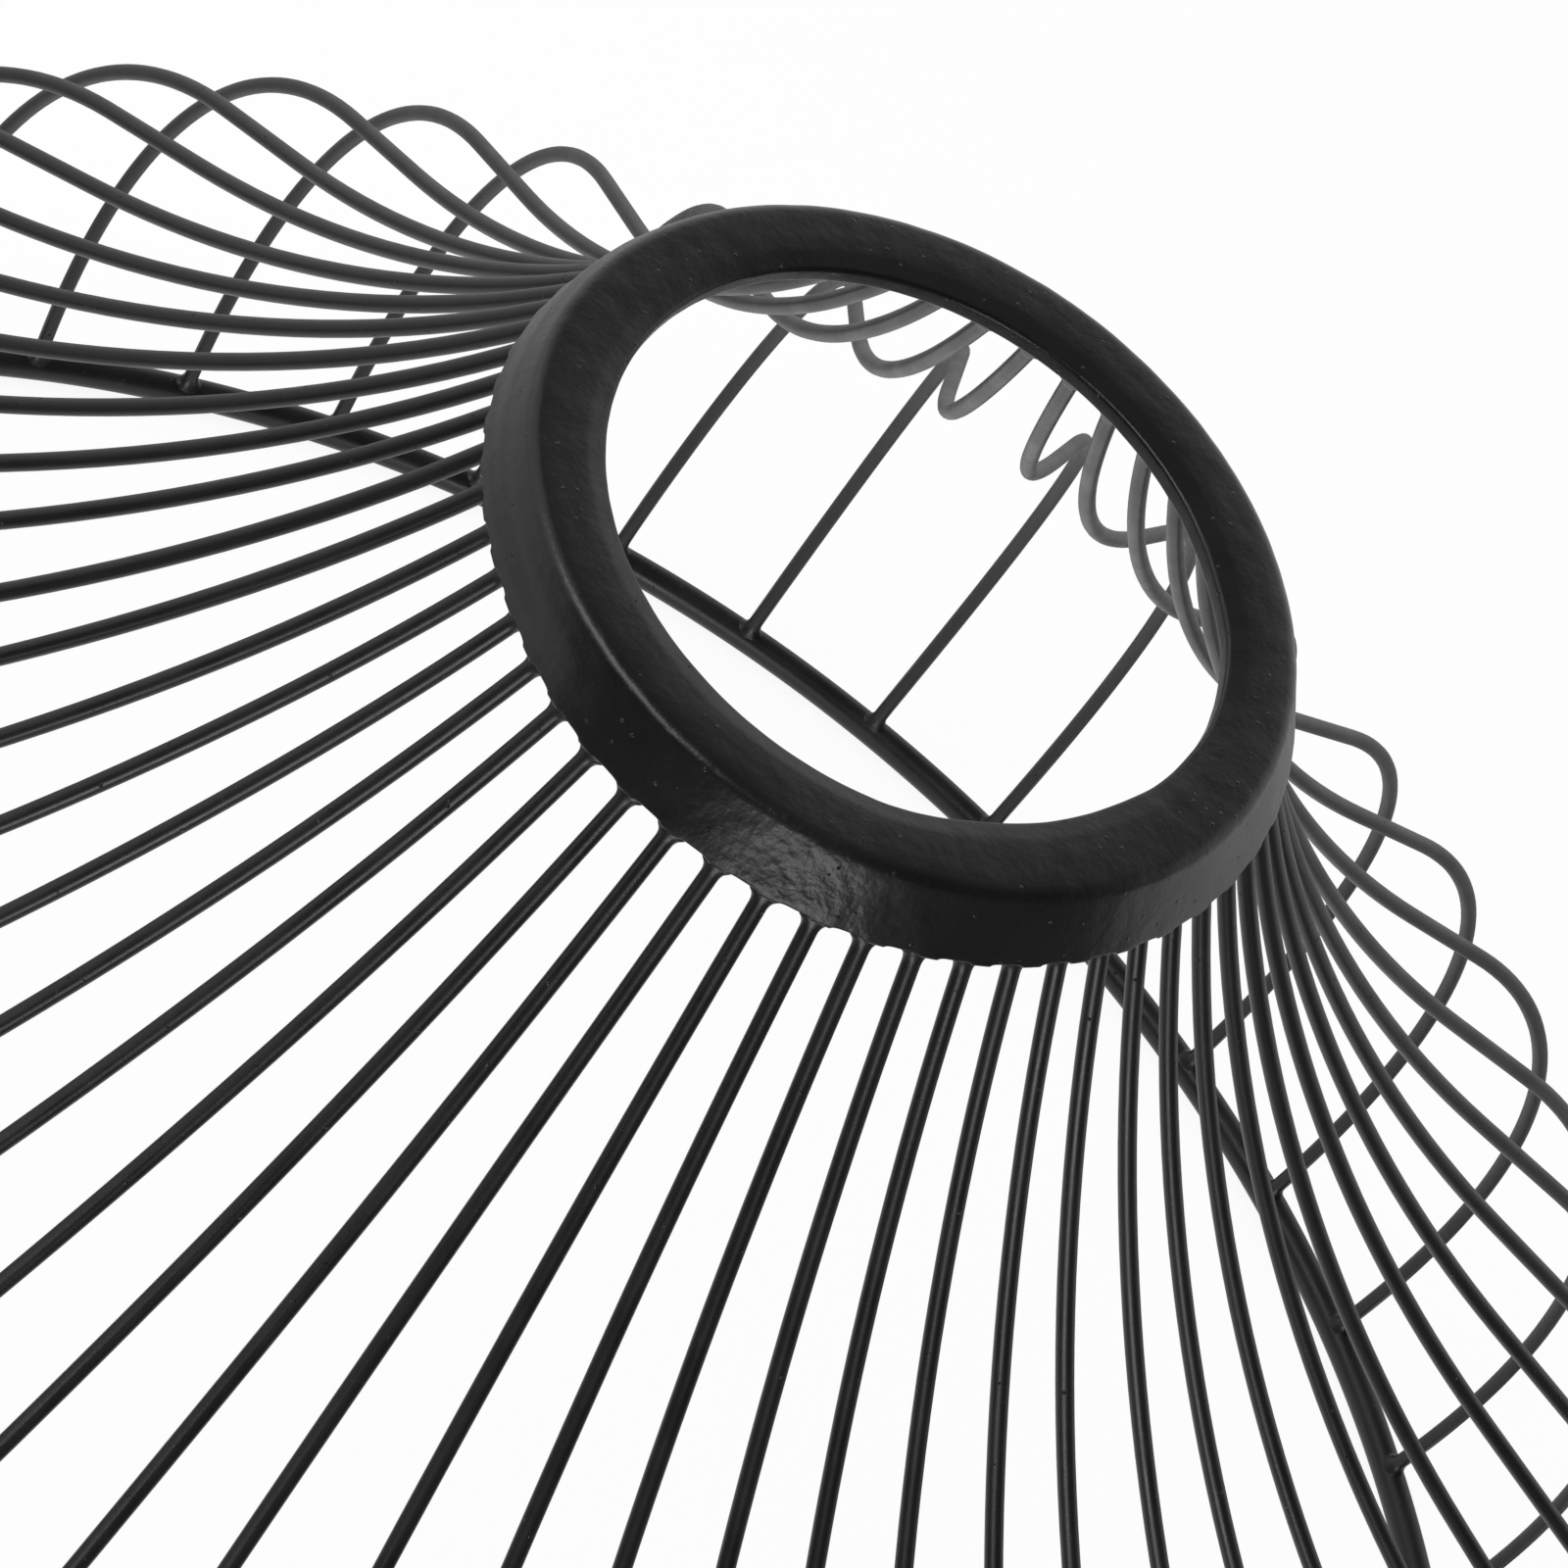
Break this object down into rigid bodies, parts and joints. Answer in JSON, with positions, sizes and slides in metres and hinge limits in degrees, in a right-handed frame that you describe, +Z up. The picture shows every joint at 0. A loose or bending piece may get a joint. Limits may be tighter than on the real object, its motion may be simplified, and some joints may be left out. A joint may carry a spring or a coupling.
{
  "type": "cage lampshade",
  "caption": "Bell-shaped cage lampshade of formed black wires, welded inside a flat-faced neck collar with a lamp-holder hole and onto a round base ring.",
  "frame": {"origin": "on the shade's axis, at the foot of the base ring that it stands on", "axes": "+Z up along the shade's axis to the neck collar, +X through the first wire"},
  "size_m": [0.2128, 0.2124, 0.1228],
  "materials": {
    "black_paint": "satin black paint over steel"
  },
  "bodies": {
    "root": {"neck_collar": "black_paint", "base_ring": "black_paint", "wire_01": "black_paint", "wire_02": "black_paint", "wire_03": "black_paint", "wire_04": "black_paint", "wire_05": "black_paint", "wire_06": "black_paint", "wire_07": "black_paint", "wire_08": "black_paint", "wire_09": "black_paint", "wire_10": "black_paint", "wire_11": "black_paint", "wire_12": "black_paint", "wire_13": "black_paint", "wire_14": "black_paint", "wire_15": "black_paint", "wire_16": "black_paint", "wire_17": "black_paint", "wire_18": "black_paint", "wire_19": "black_paint", "wire_20": "black_paint", "wire_21": "black_paint", "wire_22": "black_paint", "wire_23": "black_paint", "wire_24": "black_paint", "wire_25": "black_paint", "wire_26": "black_paint", "wire_27": "black_paint", "wire_28": "black_paint", "wire_29": "black_paint", "wire_30": "black_paint", "wire_31": "black_paint", "wire_32": "black_paint", "wire_33": "black_paint", "wire_34": "black_paint", "wire_35": "black_paint", "wire_36": "black_paint", "wire_37": "black_paint", "wire_38": "black_paint", "wire_39": "black_paint", "wire_40": "black_paint", "wire_41": "black_paint", "wire_42": "black_paint", "wire_43": "black_paint", "wire_44": "black_paint", "wire_45": "black_paint", "wire_46": "black_paint", "wire_47": "black_paint", "wire_48": "black_paint", "wire_49": "black_paint", "wire_50": "black_paint"}
  },
  "joints": []
}
